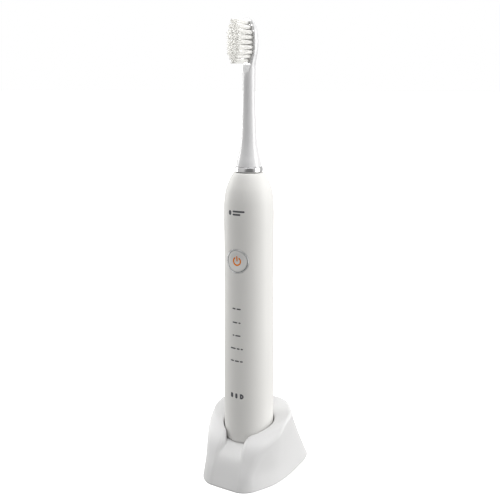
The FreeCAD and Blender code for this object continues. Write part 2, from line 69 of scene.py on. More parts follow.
# ---------------------------------------------------------------- curves and fields
class Spline:
    """Natural cubic spline y(x) through points, extended in straight lines."""

    def __init__(self, x, y):
        x = np.asarray(x, float)
        y = np.asarray(y, float)
        n = len(x)
        h = np.diff(x)
        A = np.zeros((n, n))
        r = np.zeros(n)
        A[0, 0] = A[-1, -1] = 1
        for i in range(1, n - 1):
            A[i, i - 1], A[i, i], A[i, i + 1] = h[i - 1], 2 * (h[i - 1] + h[i]), h[i]
            r[i] = 6 * ((y[i + 1] - y[i]) / h[i] - (y[i] - y[i - 1]) / h[i - 1])
        self.x, self.y, self.h, self.m = x, y, h, np.linalg.solve(A, r)

    def __call__(self, t):
        t = np.asarray(t, float)
        c = np.clip(t, self.x[0], self.x[-1])
        i = np.clip(np.searchsorted(self.x, c) - 1, 0, len(self.x) - 2)
        a, b, h = self.x[i + 1] - c, c - self.x[i], self.h[i]
        m0, m1, y0, y1 = self.m[i], self.m[i + 1], self.y[i], self.y[i + 1]
        v = (m0 * a ** 3 + m1 * b ** 3) / (6 * h) + (y0 / h - m0 * h / 6) * a + (y1 / h - m1 * h / 6) * b
        s = self.slope(c)
        return v + (t - c) * s

    def slope(self, t):
        c = np.clip(np.asarray(t, float), self.x[0], self.x[-1])
        i = np.clip(np.searchsorted(self.x, c) - 1, 0, len(self.x) - 2)
        a, b, h = self.x[i + 1] - c, c - self.x[i], self.h[i]
        m0, m1, y0, y1 = self.m[i], self.m[i + 1], self.y[i], self.y[i + 1]
        return (-m0 * a ** 2 + m1 * b ** 2) / (2 * h) - (y0 / h - m0 * h / 6) + (y1 / h - m1 * h / 6)


def closed_curve(pts, per=12):
    """Periodic cubic spline through a loop of points."""
    p = np.asarray(pts, float)
    n = len(p)
    d = np.linalg.norm(np.roll(p, -1, 0) - p, axis=1)
    t = np.concatenate([[0], np.cumsum(d)])
    ext = 6
    tt = np.concatenate([t[-1 - ext:-1] - t[-1], t, t[1:1 + ext] + t[-1]])
    pp = np.concatenate([p[-ext:], p, p[:1], p[1:1 + ext]])
    sx, sy = Spline(tt, pp[:, 0]), Spline(tt, pp[:, 1])
    q = np.concatenate([np.linspace(t[i], t[i + 1], per, endpoint=False) for i in range(n)])
    return np.stack([sx(q), sy(q)], 1)


def rmax(a, b, r):
    """Intersection of two fields with a rounded edge of radius r."""
    u, v = np.maximum(a + r, 0), np.maximum(b + r, 0)
    return np.minimum(-r, np.maximum(a, b)) + np.sqrt(u * u + v * v)


def rmin(a, b, r):
    """Union of two fields with a filleted corner of radius r."""
    return -rmax(-a, -b, r)


def rbox(x, y, z, x0, x1, y0, y1, z0, z1, r=0.4):
    dx = np.maximum(x0 - x, x - x1) + r
    dy = np.maximum(y0 - y, y - y1) + r
    dz = np.maximum(z0 - z, z - z1) + r
    out = np.sqrt(np.maximum(dx, 0) ** 2 + np.maximum(dy, 0) ** 2 + np.maximum(dz, 0) ** 2)
    return out + np.minimum(np.maximum(dx, np.maximum(dy, dz)), 0) - r


def smooth(t):
    t = np.clip(t, 0, 1)
    return t * t * (3 - 2 * t)


def field_mesh(field, lo, hi, step, rounds=4):
    """Quads over the zero level of a field on a grid, each vertex then moved onto the level itself."""
    ax = [np.arange(lo[i], hi[i] + step, step) for i in range(3)]
    nx, ny, nz = [len(a) for a in ax]
    F = np.empty((nx, ny, nz), np.float32)
    Y, Z = np.meshgrid(ax[1], ax[2], indexing="ij")
    for i0 in range(0, nx, 8):
        xs = ax[0][i0:i0 + 8]
        X = np.broadcast_to(xs[:, None, None], (len(xs), ny, nz))
        F[i0:i0 + 8] = field(X, np.broadcast_to(Y, X.shape), np.broadcast_to(Z, X.shape))
    F[F == 0] = 1e-6
    ins = F < 0
    tot = sum(ins[i:nx - 1 + i, j:ny - 1 + j, k:nz - 1 + k].astype(np.int8) for i in (0, 1) for j in (0, 1) for k in (0, 1))
    act = (tot > 0) & (tot < 8)
    idx = np.full(act.shape, -1, np.int64)
    ci, cj, ck = np.nonzero(act)
    idx[ci, cj, ck] = np.arange(len(ci))
    acc = np.zeros((len(ci), 3))
    cnt = np.zeros(len(ci))
    for axis in range(3):
        o = [a for a in range(3) if a != axis]
        for p in (0, 1):
            for q in (0, 1):
                a = [0, 0, 0]
                a[o[0]], a[o[1]] = p, q
                b = list(a)
                b[axis] = 1
                fa = F[ci + a[0], cj + a[1], ck + a[2]]
                fb = F[ci + b[0], cj + b[1], ck + b[2]]
                m = (fa < 0) != (fb < 0)
                t = fa[m] / (fa[m] - fb[m])
                add = np.tile(np.array(a, float), (m.sum(), 1))
                add[:, axis] += t
                acc[m] += add
                cnt[m] += 1
    P = np.stack([ci, cj, ck], 1) + acc / cnt[:, None]
    P = np.array([ax[0][0], ax[1][0], ax[2][0]]) + P * step
    e = step * 0.12

    def val(Q):
        return field(Q[:, 0], Q[:, 1], Q[:, 2])

    for _ in range(rounds):
        f = val(P)
        g = np.stack([(val(P + d) - val(P - d)) / (2 * e) for d in np.eye(3) * e], 1)
        n2 = np.maximum((g * g).sum(1), 0.05)
        mv = -(f / n2)[:, None] * g
        L = np.linalg.norm(mv, axis=1)
        mv *= np.minimum(1, 0.35 * step / np.maximum(L, 1e-9))[:, None]
        P = P + mv
    quads = []
    for axis in range(3):
        s0 = np.take(ins, range(0, ins.shape[axis] - 1), axis)
        s1 = np.take(ins, range(1, ins.shape[axis]), axis)
        m = s0 != s1
        i, j, k = np.nonzero(m)
        c = [i, j, k]
        b, d = [(1, 2), (2, 0), (0, 1)][axis]
        ok = (c[b] > 0) & (c[d] > 0) & (c[b] < [nx, ny, nz][b] - 1) & (c[d] < [nx, ny, nz][d] - 1)
        c = [v[ok] for v in c]
        low = s0[c[0], c[1], c[2]]

        def cell(db, dd):
            w = [v.copy() for v in c]
            w[b] += db
            w[d] += dd
            return idx[w[0], w[1], w[2]]

        q = np.stack([cell(-1, -1), cell(0, -1), cell(0, 0), cell(-1, 0)], 1)
        q[~low] = q[~low][:, ::-1]
        quads.append(q)
    return P, np.concatenate(quads)


def to_object(name, verts, faces, body, replaced=(), sharp=None, turn=0.0):
    """A mesh object from millimetre coordinates in the row frame."""
    v = np.asarray(verts, float)
    me = bpy.data.meshes.new(name)
    if isinstance(faces, np.ndarray):
        me.vertices.add(len(v))
        me.vertices.foreach_set("co", (v * MM).astype(np.float32).ravel())
        k = faces.shape[1]
        me.loops.add(faces.size)
        me.loops.foreach_set("vertex_index", faces.astype(np.int32).ravel())
        me.polygons.add(len(faces))
        me.polygons.foreach_set("loop_start", np.arange(0, faces.size, k, dtype=np.int32))
        me.update(calc_edges=True)
    else:
        me.from_pydata((v * MM).tolist(), [], [tuple(f) for f in faces])
        me.update()
    me.validate()
    me.polygons.foreach_set("use_smooth", np.ones(len(me.polygons), bool))
    if sharp:
        me.set_sharp_from_angle(angle=math.radians(sharp))
    ob = bpy.data.objects.new(name, me)
    bpy.context.scene.collection.objects.link(ob)
    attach(ob, body)
    if replaced:
        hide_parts(*replaced)
    return ob


def turn_head(v):
    """The head's own frame to the row frame, mm."""
    v = np.asarray(v, float)
    c, s = math.cos(HEAD_TURN), math.sin(HEAD_TURN)
    return np.stack([v[:, 0] * c - v[:, 1] * s, v[:, 0] * s + v[:, 1] * c + AXIS_Y, v[:, 2] + ZS], 1)


def handle_frame(v):
    v = np.asarray(v, float)
    return v + np.array([0, AXIS_Y, ZS])


# ================================================================ charging base
OUTLINES = {
    0.6: [(0, -38.6), (9.25, -35.2), (15.4, -27.25), (18.5, -22.5), (20.8, -18.2), (22.6, -14.45), (24.2, -9.75), (25.6, -2.6), (26.4, 7), (26.5, 16), (26.1, 24.5), (24.6, 31.0), (20, 36.3), (11.5, 39.0), (0, 39.5)],
    10.0: [(0, -34.7), (9.0, -31.2), (15.4, -24.1), (18.3, -19.7), (20.5, -15.6), (22.2, -12.1), (23.8, -7.8), (25.0, -1), (25.8, 7), (25.9, 14.4), (25.3, 21), (23.4, 26.6), (18.6, 31.2), (10.6, 33.7), (0, 34.3)],
    20.0: [(0, -31.4), (9.0, -28.0), (15.3, -20.9), (18.2, -16.6), (20.4, -13.0), (22.1, -9.6), (23.8, -5.6), (24.9, 0.5), (25.2, 7), (25.2, 13), (24.4, 18.2), (21.6, 22.6), (17.2, 27.4), (9.8, 29.6), (0, 30.2)],
    30.0: [(0, -29.2), (9.4, -26.0), (15.8, -18.6), (18.5, -14.6), (20.5, -11.4), (22.2, -8.4), (24.0, -4.6), (24.8, 1), (25.0, 6.5), (24.4, 11.2), (22.6, 15.2), (19.8, 19.4), (15.6, 23.6), (8.8, 26.0), (0, 26.8)],
    42.0: [(0, -26.4), (9.4, -23.0), (15.9, -15.6), (18.4, -12.2), (20.4, -9.2), (22.1, -6.4), (24.0, -2.8), (24.8, 1.5), (24.6, 6), (23.4, 10), (20.4, 13.4), (17.8, 16.8), (14.0, 20.6), (8, 22.9), (0, 23.6)],
}
FRONT = [(-31.05, -1.5), (-30.55, 1), (-29.4, 5), (-27.55, 10), (-25.2, 15), (-22.4, 20.5), (-18.3, 25.4), (-13.9, 28.7), (-10.7, 31.2), (-5.6, 35.2), (0, 38.7), (7, 42.0)]
BOW = 0.0115
LEDGE = [(-27.2, 8.0), (-25.0, 13.4), (-23.4, 16.2), (-21.0, 18.6), (-18.0, 20.6), (-14.8, 22.1), (-11.5, 22.2)]
CREST_R, LIP_R = 2.3, 0.9
CREST_UP = 0.85

heights = sorted(OUTLINES)
half = np.array([OUTLINES[h] for h in heights])
half_splines = [[Spline(heights, half[:, i, c]) for c in (0, 1)] for i in range(half.shape[1])]
C0 = 3.0
TN, TZ = 720, np.arange(-1.0, 46.01, 0.5)
theta = np.linspace(-math.pi, math.pi, TN, endpoint=False)
table = np.zeros((len(TZ), TN))
for zi, z in enumerate(TZ):
    h = np.array([[float(sx(z)), float(sy(z))] for sx, sy in half_splines])
    h[0, 0] = h[-1, 0] = 0.0
    loop = np.concatenate([h, (h * [-1, 1])[-2:0:-1]])
    c = closed_curve(loop)
    a = np.arctan2(c[:, 1] - C0, c[:, 0])
    r = np.hypot(c[:, 0], c[:, 1] - C0)
    o = np.argsort(a)
    a, r = a[o], r[o]
    table[zi] = np.interp(theta, np.concatenate([a - 2 * math.pi, a, a + 2 * math.pi]), np.tile(r, 3))
# a light smoothing round the outline, as a moulded flank has
for _ in range(6):
    table = (np.roll(table, 1, 1) + 2 * table + np.roll(table, -1, 1)) / 4
dth = theta[1] - theta[0]
tab_t = (np.roll(table, -1, 1) - np.roll(table, 1, 1)) / (2 * dth)
tab_z = np.gradient(table, 0.5, axis=0)


def lookup(tab, th, z):
    u = (th + math.pi) / dth
    v = np.clip((z - TZ[0]) / 0.5, 0, len(TZ) - 1.001)
    i, j = np.floor(u).astype(int), np.floor(v).astype(int)
    fu, fv = u - i, v - j
    i0, i1 = i % TN, (i + 1) % TN
    return (tab[j, i0] * (1 - fu) + tab[j, i1] * fu) * (1 - fv) + (tab[j + 1, i0] * (1 - fu) + tab[j + 1, i1] * fu) * fv


front_y = Spline([p[1] for p in FRONT], [p[0] for p in FRONT])
ledge_z = Spline([p[0] for p in LEDGE], [p[1] for p in LEDGE])
tilt = math.radians(6.5)


def base_outside(x, y, z):
    """The base's outer form in the handle axis frame, without its bottom."""
    th = np.arctan2(y - C0, x)
    r = np.hypot(x, y - C0)
    # the front corners stand a little prouder in their upper part, which their rounding takes back
    ahead = np.minimum(-th, th + math.pi)
    corner_up = smooth((ahead - 0.15) / 0.45)
    R = lookup(table, th, z) + 0.75 * smooth((z - 8.0) / 12.0) * corner_up
    flank = (r - R) / np.sqrt(1 + (lookup(tab_t, th, z) / R) ** 2 + lookup(tab_z, th, z) ** 2)
    fs = front_y.slope(z)
    front = (front_y(z) + BOW * x * x - y) / np.sqrt(1 + fs * fs + (2 * BOW * x) ** 2)
    body = rmax(flank, front, 2.6 - 1.3 * smooth(z / 10.0))
    zz = z - (30.7 - 0.45 * 14.75 + CREST_UP)
    yl = y * math.cos(tilt) + zz * math.sin(tilt)
    zl = -y * math.sin(tilt) + zz * math.cos(tilt)
    dish = (zl - 0.45 * np.sqrt(x * x + yl * yl + 0.5)) / math.sqrt(1 + 0.45 ** 2)
    capped = rmax(body, dish, CREST_R)
    rho = np.hypot(x, y)
    cup = rmax(rho - CUP_R, SEAT_Z - z, 0.01)
    top = rmax(capped, -cup, LIP_R)
    # the notch: straight walls that roll over into the dish and the front
    hw = 5.8 + 1.0 * smooth((-y - 17) / 12.0)
    roll = 3.6
    sides = rmax(top, np.minimum(hw - np.abs(x), -y), roll)
    lz = np.where(y > -11.5, SEAT_Z, ledge_z(np.minimum(y, -11.5)))
    ls = np.where(y > -11.5, 0.0, ledge_z.slope(np.minimum(y, -11.5)))
    under = rmax(body, (z - lz) / np.sqrt(1 + ls * ls), 0.8)
    under = np.maximum(under, np.abs(x) - hw - 2.6)
    return rmin(sides, under, 0.001 + 0.75 * smooth((-y - 15.0) / 2.5))


SCREWS = [(19.0, -7.0), (-19.0, -7.0), (19.4, 18.5), (-19.4, 18.5)]


def base_field(x, y, z):
    outside = base_outside(x, y, z)
    rho = np.hypot(x, y)
    peg = rmax(rho - 3.9, z - 31.2, 0.7)
    solid = rmin(outside, rmax(peg, 20.7 - z, 0.1), 0.35)
    hollow = outside + WALL
    hollow = np.minimum(hollow, np.maximum(rho - 2.7, z - 30.2))
    for sx, sy in SCREWS:
        boss = np.maximum(np.hypot(x - sx, y - sy) - 2.7, 2.7 - z)
        hollow = rmax(hollow, -np.maximum(boss, outside + 0.9), 0.2)
    back = rbox(x, y, z, -7.6, 7.6, 31.9, 60, 2.9, 12.2, 0.3)
    hollow = np.maximum(hollow, -back)
    f = np.maximum(solid, -hollow)
    f = rmax(f, -rbox(x, y, z, -6.2, 6.2, 34.2, 60, 3.6, 10.6, 0.9), 0.35)
    f = np.maximum(f, -rbox(x, y, z, -4.55, 4.55, 30, 36, 5.4, 8.75, 1.0))
    return rmax(f, BASE_Z - 0.3 - z, 0.2)


P, Q = field_mesh(base_field, (-28.0, -33.0, -0.4), (28.0, 41.5, 43.0), 0.5)
P = np.clip(P, [1000.0 * c - s for c, s in zip(cad_lo, (0, AXIS_Y, 0))], [1000.0 * c - s for c, s in zip(cad_hi, (0, AXIS_Y, 0))])
base = to_object("charger_shell_moulding", P + np.array([0, AXIS_Y, 0]), Q, "charger", ["charger_shell"])

# ================================================================ handle
OUT = [(14.42, 2.2), (14.55, 6), (14.62, 12), (14.65, 20), (14.60, 30), (14.55, 40), (14.38, 58), (14.22, 74), (14.12, 90), (14.06, 106), (14.06, 118), (14.14, 127),
       (14.18, 133), (14.08, 138.7), (13.82, 143.2), (13.52, 145.5), (13.10, 147.7), (12.48, 150), (11.65, 152.2), (10.62, 154.5), (9.70, 156.2), (8.90, 157.4)]
out_r = Spline([p[1] for p in OUT], [p[0] for p in OUT])
COLS, HALF_COLS = 192, 21
BTN_ROWS = BUTTON_S + np.linspace(-9.03, 9.03, 2 * HALF_COLS + 1)


def handle_rows():
    rows = [(12.36, 0.0), (12.5, 0.0)]
    # bottom corner: an arc through three points, as the handle's foot rounds
    for t in np.linspace(0, 1, 9):
        a, b, c = np.array([12.62, 0.0]), np.array([14.42, 0.02]), np.array([14.42, 2.2])
        p = (1 - t) ** 2 * a + 2 * t * (1 - t) * b + t * t * c
        rows.append((p[0], p[1]))
    s = np.concatenate([np.arange(3.0, BTN_ROWS[0] - 0.8, 1.6), BTN_ROWS, np.arange(BTN_ROWS[-1] + 1.2, 140, 1.6), np.arange(140.6, 157.4, 0.7), [157.4]])
    b0 = len(rows) + int(np.argmin(np.abs(s - BTN_ROWS[0])))
    rows += [(float(out_r(v)), float(v)) for v in s]
    rows += [(8.72, 157.62), (8.52, 157.8), (8.3, 157.92), (8.05, 157.98), (7.8, 158.0), (6.2, 158.0), (5.9, 157.97), (5.68, 157.85), (5.6, 157.6), (5.6, 156.5), (5.6, 155.3), (8.0, 154.9)]
    inner = Spline([138, 143, 147.7, 150.8, 152.8, 154.9], [12.35, 12.0, 11.2, 10.2, 9.2, 8.0])
    rows += [(float(inner(v)), float(v)) for v in (153.8, 152.8, 151.5, 149.5, 147, 144, 141)]
    rows += [(12.35, v) for v in np.arange(138, BTN_ROWS[-1] + 1, -3.0)]
    i0 = len(rows)
    rows += [(12.35, float(v)) for v in BTN_ROWS[::-1]]
    rows += [(12.35, v) for v in np.arange(BTN_ROWS[0] - 2, 4, -4.0)] + [(12.35, 1.2)]
    return rows, b0, i0


rows, b0, i0 = handle_rows()
th = 2 * math.pi * np.arange(COLS) / COLS
R_ = np.array([r for r, s in rows])
S_ = np.array([s for r, s in rows])
verts = np.stack([R_[:, None] * np.sin(th)[None], -R_[:, None] * np.cos(th)[None], np.broadcast_to(S_[:, None], (len(rows), COLS))], 2).reshape(-1, 3).tolist()
faces = []
nrow = len(rows)


def in_hole(i, k):
    kk = k if k < COLS // 2 else k - COLS
    if not (-HALF_COLS <= kk < HALF_COLS):
        return False
    return b0 <= i < b0 + 2 * HALF_COLS or i0 <= i < i0 + 2 * HALF_COLS


for i in range(nrow):
    for k in range(COLS):
        if in_hole(i, k):
            continue
        a, b = i * COLS + k, i * COLS + (k + 1) % COLS
        j = (i + 1) % nrow
        faces.append((a, b, j * COLS + (k + 1) % COLS, j * COLS + k))


def hole_loop(first, up):
    """Grid vertices round the button's square of cells, counter-clockwise in x and s from its lower left."""
    n = 2 * HALF_COLS
    row = (lambda j: first + j) if up else (lambda j: first + n - j)
    col = lambda k: (k - HALF_COLS) % COLS
    loop = [(row(0), col(k)) for k in range(n)] + [(row(j), col(n)) for j in range(n)]
    loop += [(row(n), col(n - k)) for k in range(n)] + [(row(n - j), col(0)) for j in range(n)]
    return [i * COLS + k for i, k in loop]


outer_loop, inner_loop = hole_loop(b0, True), hole_loop(i0, False)
HOLE_R = 6.95
EDGE = 0.28
vo = np.array([verts[i] for i in outer_loop])
ang = np.arctan2(vo[:, 2] - BUTTON_S, vo[:, 0])


def surf_y(x, s, radius=None):
    r = out_r(s) if radius is None else radius
    return -np.sqrt(r * r - x * x)


def hole_patch(loop, radius, sinks):
    """Rings of vertices from the hole's rim out to the grid's loop."""
    lv = np.array([verts[i] for i in loop])
    rings = []
    for d, sink in sinks:
        x, s = (HOLE_R + d) * np.cos(ang), BUTTON_S + (HOLE_R + d) * np.sin(ang)
        rings.append(np.stack([x, surf_y(x, s, radius) + sink, s], 1))
    last = sinks[-1][0]
    for t in np.linspace(0, 1, 9)[1:-1]:
        cx, cs = (HOLE_R + last) * np.cos(ang), BUTTON_S + (HOLE_R + last) * np.sin(ang)
        x, s = cx * (1 - t) + lv[:, 0] * t, cs * (1 - t) + lv[:, 2] * t
        rings.append(np.stack([x, surf_y(x, s, radius), s], 1))
    ids = []
    for r in rings:
        ids.append(list(range(len(verts), len(verts) + len(r))))
        verts.extend(r.tolist())
    ids.append(list(loop))
    return ids


round_over = [(EDGE * (1 - math.cos(a)), EDGE * (1 - math.sin(a))) for a in np.linspace(0, math.pi / 2, 6)]
outer_ids = hole_patch(outer_loop, None, [(d, s) for d, s in round_over] + [(0.45, 0.0)])
inner_ids = hole_patch(inner_loop, 12.35, [(0.0, 0.0), (0.15, 0.0)])
n = len(outer_loop)
for ids, flip in ((outer_ids, False), (inner_ids, True)):
    for a, b in zip(ids, ids[1:]):
        for k in range(n):
            q = (a[k], b[k], b[(k + 1) % n], a[(k + 1) % n])
            faces.append(q[::-1] if flip else q)
for k in range(n):
    faces.append((inner_ids[0][k], outer_ids[0][k], outer_ids[0][(k + 1) % n], inner_ids[0][(k + 1) % n]))
handle = to_object("handle_housing_moulding", handle_frame(verts), faces, "handle", ["handle_housing"], sharp=50)


# ---------------------------------------------------------------- button
def polar_solid(profile, name, body, replaced, floor_y, centre=True, cols=144, sharp=None):
    """A round piece on the handle's curved front. profile is (radius, height over the handle's surface), from outside in; floor_y closes it."""
    a = 2 * math.pi * np.arange(cols) / cols
    vv, ff, ring_ids = [], [], []
    for r, up in profile:
        if up is None:
            # the underside: flat, but never less than a thin wall behind the handle's curve
            y = np.maximum(floor_y, surf_y(r * np.cos(a), BUTTON_S + r * np.sin(a)) + 0.45) if centre else np.full(cols, floor_y)
        else:
            x, s = r * np.cos(a), BUTTON_S + r * np.sin(a)
            y = surf_y(x, s) - up
        ring_ids.append(list(range(len(vv), len(vv) + cols)))
        vv.extend(np.stack([r * np.cos(a), y, BUTTON_S + r * np.sin(a)], 1).tolist())
    closed = not centre
    pairs = list(zip(ring_ids, ring_ids[1:])) + ([(ring_ids[-1], ring_ids[0])] if closed else [])
    for p, q in pairs:
        for k in range(cols):
            ff.append((p[k], p[(k + 1) % cols], q[(k + 1) % cols], q[k]))
    if centre:
        # middle of the top and of the floor
        r, up = 0.0, profile[-1][1]
        vv.append([0, float(surf_y(0.0, BUTTON_S)) - up, BUTTON_S])
        vv.append([0, floor_y, BUTTON_S])
        for k in range(cols):
            ff.append((ring_ids[-1][k], ring_ids[-1][(k + 1) % cols], len(vv) - 2))
            ff.append((ring_ids[0][(k + 1) % cols], ring_ids[0][k], len(vv) - 1))
    return to_object(name, handle_frame(vv), ff, body, replaced, sharp=sharp)


bez = [(6.34, None), (6.88, None), (6.88, -0.30)]
for a in np.linspace(0, math.pi, 11):
    bez.append((6.60 + 0.27 * math.cos(a), -0.26 + 0.30 * math.sin(a)))
bez += [(6.33, -0.34), (6.33, -0.6)]
bezel = polar_solid(bez, "button_bezel", "handle", ["button_ring"], -11.9, centre=False)

DISH = 0.62


def cap_up(r):
    # height of the cap over the handle's surface: a shallow dish inside a soft rim
    return -0.12 - DISH * (1 - smooth((r / 5.6) ** 1.2 if np.isscalar(r) else (r / 5.6) ** 1.2))


cap = [(r, None) for r in (0.6, 1.5, 2.6, 3.6, 4.4, 5.0, 5.4, 5.8, 6.1)] + [(6.1, -0.42)]
for a in np.linspace(0, math.pi / 2, 6)[1:]:
    cap.append((6.1 - 0.28 * (1 - math.cos(a)), -0.40 + 0.28 * math.sin(a)))
cap += [(r, float(cap_up(r))) for r in (5.6, 5.35, 5.1, 4.8, 4.5, 4.2, 3.9, 3.5, 3.0, 2.5, 2.0, 1.5, 1.0, 0.5)]
# the membrane behind it is narrower across the handle, where the cap's edge comes down past it
aa = 2 * math.pi * np.arange(120) / 120
mem_v, mem_f = [], []
for rx, rs, y in ((2.0, 2.0, -12.17), (2.08, 2.08, -12.25), (4.44, 6.1, -12.25), (4.52, 6.2, -12.17), (4.52, 6.2, -12.03), (4.44, 6.1, -11.95), (2.08, 2.08, -11.95), (2.0, 2.0, -12.03)):
    mem_v.extend(np.stack([rx * np.cos(aa), np.full(120, y), BUTTON_S + rs * np.sin(aa)], 1).tolist())
for i in range(8):
    for k in range(120):
        j = (i + 1) % 8
        mem_f.append((i * 120 + k, i * 120 + (k + 1) % 120, j * 120 + (k + 1) % 120, j * 120 + k))
membrane = to_object("button_membrane", handle_frame(mem_v), mem_f, "handle", ["button_seal"], sharp=50)
button = polar_solid(cap, "button_face", "power_button", ["button_cap"], -12.9, sharp=60)


def stroke_solid(path, half_w, top, depth, seg=0.16, closed=False):
    """A thin inlaid or printed stroke. path is in (x, s); top(x, s) gives y of its upper face. Round ends."""
    p = np.asarray(path, float)
    d = np.linalg.norm(np.diff(p, axis=0), axis=1)
    t = np.concatenate([[0], np.cumsum(d)])
    m = max(3, int(t[-1] / seg) + 1)
    q = np.linspace(0, t[-1], m)
    c = np.stack([np.interp(q, t, p[:, 0]), np.interp(q, t, p[:, 1])], 1)
    tan = np.gradient(c, axis=0)
    tan /= np.linalg.norm(tan, axis=1)[:, None]
    nor = np.stack([-tan[:, 1], tan[:, 0]], 1)
    ext = [math.sin(a) for a in np.linspace(0, math.pi / 2, 5)][1:]
    wid = [math.cos(a) for a in np.linspace(0, math.pi / 2, 5)][1:]
    cs, ws, ns = [], [], []
    for e, w in list(zip(ext, wid))[::-1]:
        cs.append(c[0] - tan[0] * half_w * e), ws.append(max(w, 0.06)), ns.append(nor[0])
    for i in range(m):
        cs.append(c[i]), ws.append(1.0), ns.append(nor[i])
    for e, w in zip(ext, wid):
        cs.append(c[-1] + tan[-1] * half_w * e), ws.append(max(w, 0.06)), ns.append(nor[-1])
    cs, ws, ns = np.array(cs), np.array(ws), np.array(ns)
    across = np.linspace(-1, 1, max(3, int(2 * half_w / seg) + 2))
    vv, ff = [], []
    M, A = len(cs), len(across)
    for layer in (0, 1):
        for i in range(M):
            for a in across:
                x, s = cs[i] + ns[i] * half_w * ws[i] * a
                vv.append([x, top(x, s) + (depth if layer else 0), s])
    g = lambda L, i, j: L * M * A + i * A + j
    for i in range(M - 1):
        for j in range(A - 1):
            ff.append((g(0, i, j), g(0, i + 1, j), g(0, i + 1, j + 1), g(0, i, j + 1)))
            ff.append((g(1, i, j), g(1, i, j + 1), g(1, i + 1, j + 1), g(1, i + 1, j)))
    for i in range(M - 1):
        ff.append((g(0, i + 1, 0), g(0, i, 0), g(1, i, 0), g(1, i + 1, 0)))
        ff.append((g(0, i, A - 1), g(0, i + 1, A - 1), g(1, i + 1, A - 1), g(1, i, A - 1)))
    for j in range(A - 1):
        ff.append((g(0, 0, j), g(0, 0, j + 1), g(1, 0, j + 1), g(1, 0, j)))
        ff.append((g(0, M - 1, j + 1), g(0, M - 1, j), g(1, M - 1, j), g(1, M - 1, j + 1)))
    return vv, ff


def merge(parts):
    vv, ff = [], []
    for v, f in parts:
        o = len(vv)
        vv += list(v)
        ff += [tuple(i + o for i in q) for q in f]
    return vv, ff


def flip_to_front(vv, ff):
    """Strokes are wound so that their upper faces look to -Y."""
    v = np.array(vv)
    a, b, c = (v[ff[0][i]] for i in range(3))
    return ff if np.cross(b - a, c - a)[1] < 0 else [f[::-1] for f in ff]


# the symbol: an open ring and a bar, inlaid in the dish
def cap_top(x, s):
    r = math.hypot(x, s - BUTTON_S)
    return float(surf_y(x, s)) - float(cap_up(r)) - 0.03


arc = [(2.22 * math.sin(a), BUTTON_S + 2.22 * math.cos(a)) for a in np.linspace(math.radians(37), math.radians(323), 60)]
sym = []
for path in (arc, [(0, BUTTON_S + 0.25), (0, BUTTON_S + 2.6)]):
    v, f = stroke_solid(path, 0.41, cap_top, 0.3)
    sym.append((v, flip_to_front(v, f)))
v, f = merge(sym)
symbol = to_object("button_symbol", handle_frame(v), f, "power_button", ["power_icon"], sharp=50)


# ---------------------------------------------------------------- printed marks
def print_top(x, s):
    return float(surf_y(x, s)) - 0.014


def bar(x0, x1, s, hw):
    v, f = stroke_solid([(x0 + hw, s), (x1 - hw, s)], hw, print_top, 0.03)
    return v, flip_to_front(v, f)


marks = []
# the five mode lines: plain dashes of uneven length
MODES = [(82.2, [(-2.7, -0.5), (0.1, 2.7)]), (74.1, [(-2.6, 0.7), (1.3, 2.6)]), (66.4, [(-2.6, -1.3), (-0.7, 2.6)]), (58.6, [(-4.0, -0.4), (0.2, 2.1), (2.7, 4.0)]), (51.1, [(-4.0, -1.6), (-1.0, 1.7), (2.3, 4.0)])]
for s, spans in MODES:
    for x0, x1 in spans:
        marks.append(bar(x0, x1, s, 0.40))
mode_v, mode_f = merge(marks)
modes = to_object("mode_marks", handle_frame(mode_v), mode_f, "handle", [], sharp=50)

# charge marks: two upright bars and one with a round side
marks = []
for x, hw in ((-3.1, 0.86), (0.0, 0.74)):
    v, f = stroke_solid([(x, 28.2 + hw), (x, 31.3 - hw)], hw, print_top, 0.03)
    marks.append((v, flip_to_front(v, f)))
dv, df = stroke_solid([(2.75, 28.6), (2.75, 30.9)], 0.46, print_top, 0.03)
marks.append((dv, flip_to_front(dv, df)))
arc = [(2.8 + 1.25 * math.sin(a), 29.75 + 1.12 * math.cos(a)) for a in np.linspace(0, math.pi, 24)]
dv, df = stroke_solid(arc, 0.46, print_top, 0.03)
marks.append((dv, flip_to_front(dv, df)))
v, f = merge(marks)
charge = to_object("charge_marks", handle_frame(v), f, "handle", [], sharp=50)

# a plain mark near the shoulder: a dot and a short bar
marks = []
dv, df = stroke_solid([(-4.2, 136.5), (-4.2, 137.3)], 0.95, print_top, 0.03)
marks.append((dv, flip_to_front(dv, df)))
for x0, x1, s in ((-2.3, 4.9, 137.75), (-2.3, 2.6, 136.05)):
    marks.append(bar(x0, x1, s, 0.5))
v, f = merge(marks)
badge = to_object("shoulder_mark", handle_frame(v), f, "handle", [], sharp=50)


# ================================================================ collar
def lathe(profile, name, body, replaced, cols=160, sharp=40, place=turn_head):
    a = 2 * math.pi * np.arange(cols) / cols
    vv = np.concatenate([np.stack([r * np.cos(a), r * np.sin(a), np.full(cols, z)], 1) for r, z in profile])
    m = len(profile)
    ff = [(i * cols + k, i * cols + (k + 1) % cols, ((i + 1) % m) * cols + (k + 1) % cols, ((i + 1) % m) * cols + k) for i in range(m) for k in range(cols)]
    return to_object(name, place(vv), ff, body, replaced, sharp=sharp)


def corner(cx, cz, r, a0, a1, n=5):
    return [(cx + r * math.cos(math.radians(a)), cz + r * math.sin(math.radians(a))) for a in np.linspace(a0, a1, n)]


ring_prof = [(6.2, 158.5), (7.2, 158.5)] + corner(7.36, 158.86, 0.34, -80, 0) + [(7.72, 159.3), (7.735, 159.7), (7.71, 160.1), (7.65, 160.5)] + corner(7.28, 160.86, 0.32, 10, 90) + [(6.9, 161.2), (6.2, 161.2)]
collar = lathe(ring_prof, "chrome_collar", "brush_head", ["collar_ring"])

